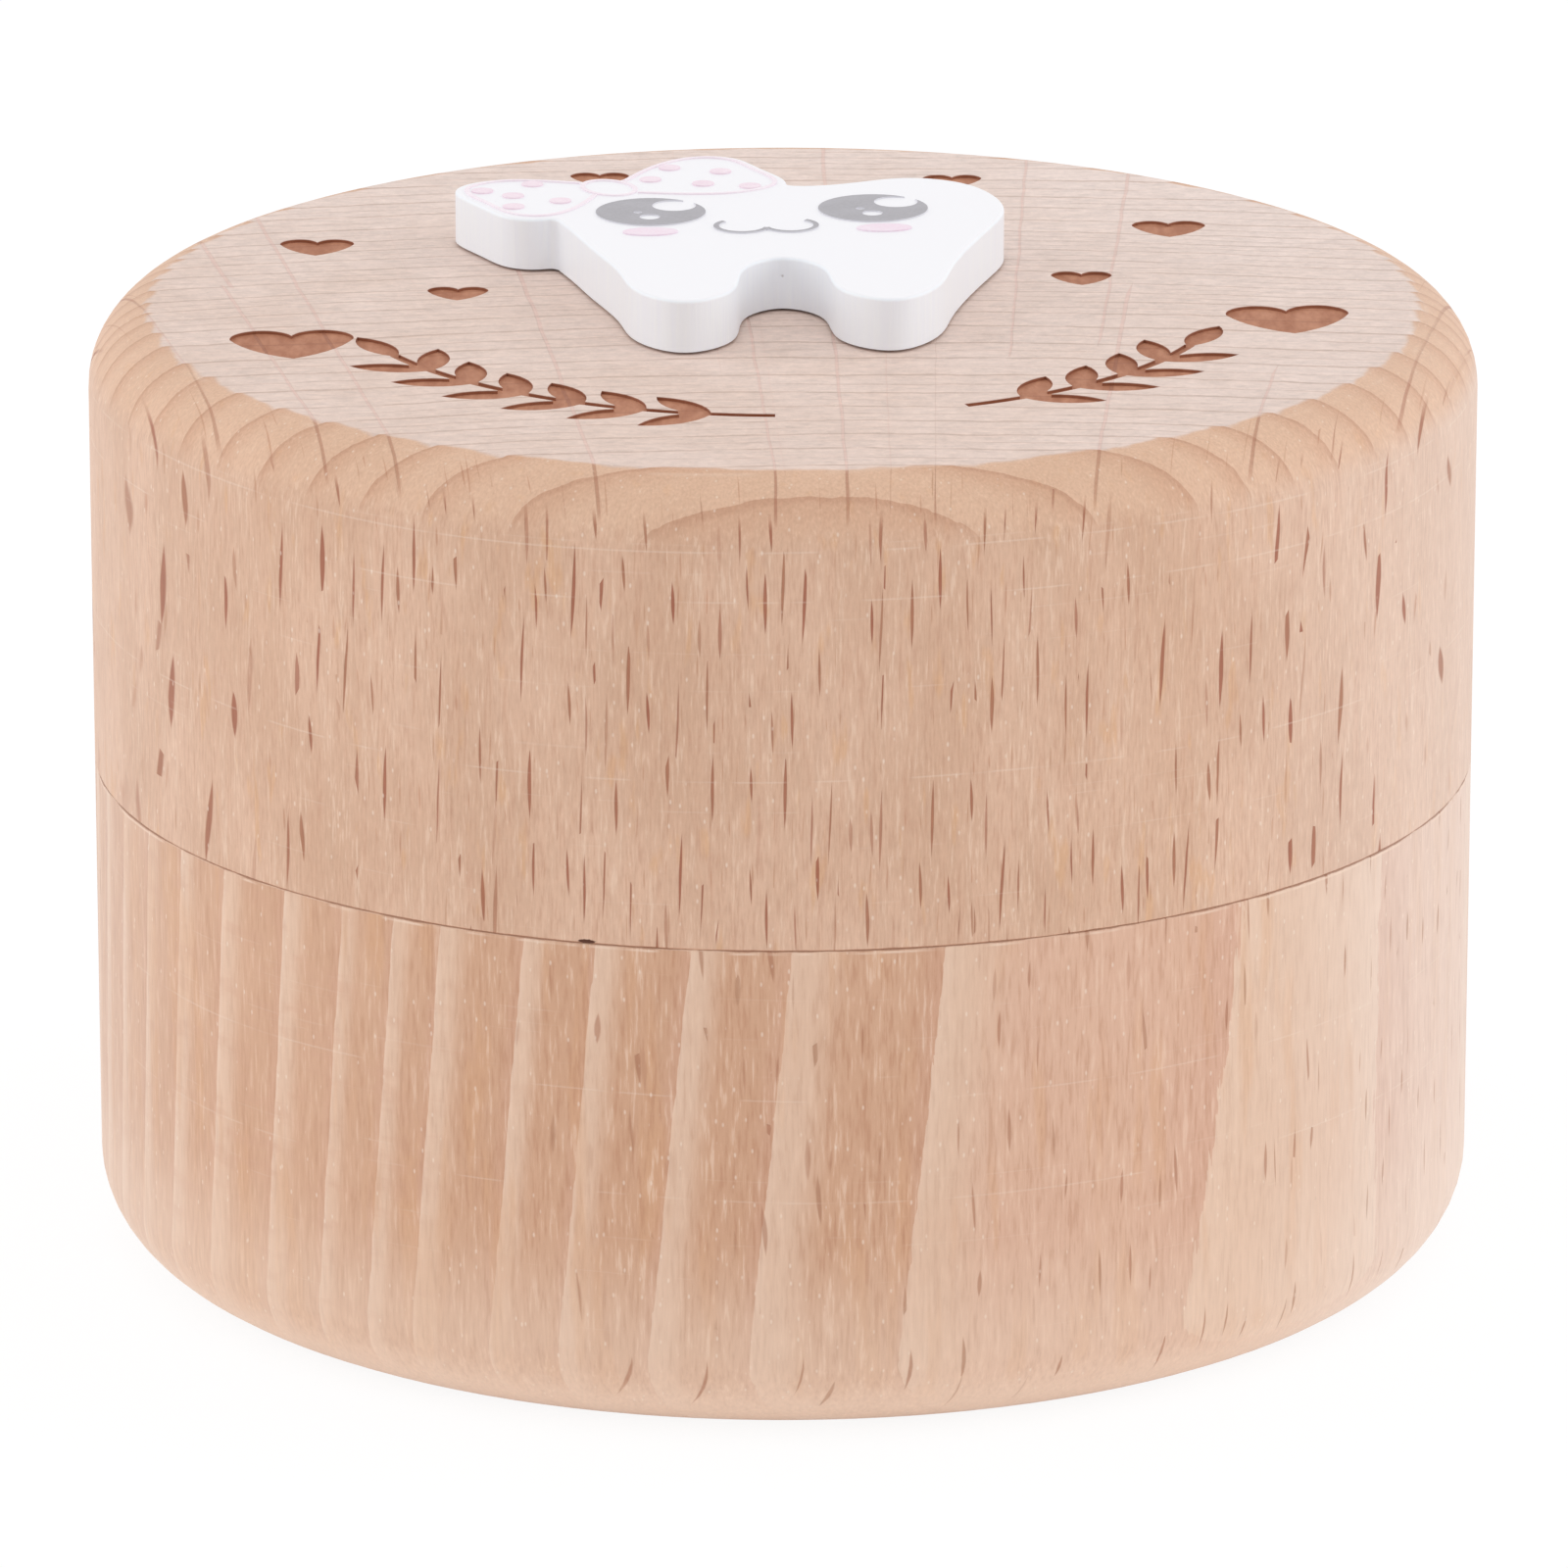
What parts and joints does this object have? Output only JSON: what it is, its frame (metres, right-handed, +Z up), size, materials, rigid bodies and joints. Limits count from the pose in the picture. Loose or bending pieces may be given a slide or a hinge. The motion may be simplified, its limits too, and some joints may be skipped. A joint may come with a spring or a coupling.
{
  "type": "baby tooth box",
  "caption": "Round turned wooden keepsake box for milk teeth, with a lift-off lid that carries a white tooth-shaped cut-out and engraved hearts.",
  "frame": {"origin": "centre of the foot, where the box stands", "axes": "+Z up along the turned axis; -Y is the front, from where the tooth's picture stands upright; +X to the right of it"},
  "size_m": [0.05, 0.05, 0.0366],
  "materials": {
    "cup_wood": "sanded, bare beech",
    "lid_wood": "sanded, bare beech with burnt engraving",
    "white_sheet": "satin white",
    "glue": "clear",
    "grey_ink": "flat print",
    "cheek_pink_ink": "flat print",
    "bow_pink_ink": "flat print"
  },
  "bodies": {
    "base": {"base_cup": "cup_wood"},
    "lid": {"lid": "lid_wood", "tooth_cutout": "white_sheet", "glue_pad": "glue", "eye_ink": "grey_ink", "cheek_ink": "cheek_pink_ink", "mouth_ink": "grey_ink", "bow_line_ink": "bow_pink_ink", "bow_dot_ink": "bow_pink_ink"}
  },
  "joints": [
    {"name": "lid_lift", "type": "slide", "parent": "base", "child": "lid", "axis": [0, 0, 1], "range_m": [0, 0.04]}
  ]
}
